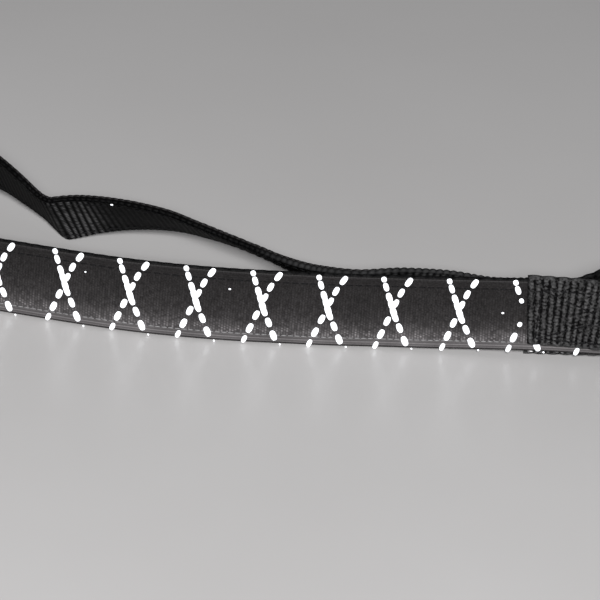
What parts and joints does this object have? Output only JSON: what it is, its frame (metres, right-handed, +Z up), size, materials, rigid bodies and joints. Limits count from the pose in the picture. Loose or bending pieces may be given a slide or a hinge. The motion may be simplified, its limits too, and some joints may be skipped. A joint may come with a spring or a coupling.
{
  "type": "martingale collar",
  "caption": "Flat webbing martingale collar with reflective crossed thread on its face, end rings, slide adjuster and a control loop with a leash ring, standing on its edge.",
  "frame": {"origin": "middle of the footprint, on the surface the collar stands on", "axes": "+Z up across the band's width, +X along the collar towards the control loop and the leash ring, +Y from the near side of the band to its far side"},
  "size_m": [0.3763, 0.0822, 0.0331],
  "materials": {
    "webbing": "coarse ribbed polyester webbing, matt black",
    "ribbon": "fine cross-ribbed ribbon, charcoal",
    "reflective_thread": "retro-reflective silver thread, bright white when lit",
    "ribbon_thread": "grey sewing thread",
    "black_thread": "bonded black sewing thread",
    "steel": "nickel-plated steel, satin"
  },
  "bodies": {
    "near_band": {"near_webbing": "webbing", "near_face_ribbon": "ribbon", "near_cross_stitches": "reflective_thread", "near_edge_stitching": "ribbon_thread", "ring_keeper": "webbing", "keeper_box_stitching": "black_thread"},
    "far_band": {"far_webbing": "webbing", "far_face_ribbon": "ribbon", "far_cross_stitches": "reflective_thread", "far_edge_stitching": "ribbon_thread"},
    "slide": {"slide_adjuster": "steel", "adjuster_tail": "webbing", "adjuster_bartack": "black_thread"},
    "end_ring_fixed": {"fixed_ring": "steel"},
    "end_ring_adjuster": {"adjuster_ring": "steel"},
    "loop": {"control_loop": "webbing", "loop_join_stitching": "black_thread", "leash_ring_bartack": "black_thread"},
    "leash_ring_body": {"leash_ring": "steel"}
  },
  "joints": [
    {"name": "collar_open", "type": "hinge", "parent": "near_band", "child": "far_band", "pos_m": [-0.1854, 0.0089, 0.0152], "axis": [0, 0, 1], "range_deg": [0, 6]},
    {"name": "slide_travel", "type": "slide", "parent": "far_band", "child": "slide", "axis": [1, 0, 0], "range_m": [-0.004, 0]},
    {"name": "fixed_ring_swing", "type": "hinge", "parent": "near_band", "child": "end_ring_fixed", "pos_m": [0.0906, -0.033, 0.01682], "axis": [0, 0, 1], "range_deg": [-8, 1]},
    {"name": "adjuster_ring_swing", "type": "hinge", "parent": "far_band", "child": "end_ring_adjuster", "pos_m": [0.0906, -0.025, 0.01682], "axis": [0, 0, 1], "range_deg": [-8, 8]},
    {"name": "loop_swing", "type": "hinge", "parent": "end_ring_fixed", "child": "loop", "pos_m": [0.1026, -0.033, 0.01682], "axis": [0, 0, 1], "range_deg": [-6, 1]},
    {"name": "leash_ring_swing", "type": "hinge", "parent": "loop", "child": "leash_ring_body", "pos_m": [0.1686, -0.0181, 0.01682], "axis": [0, 0, 1], "range_deg": [-100, 100]}
  ]
}
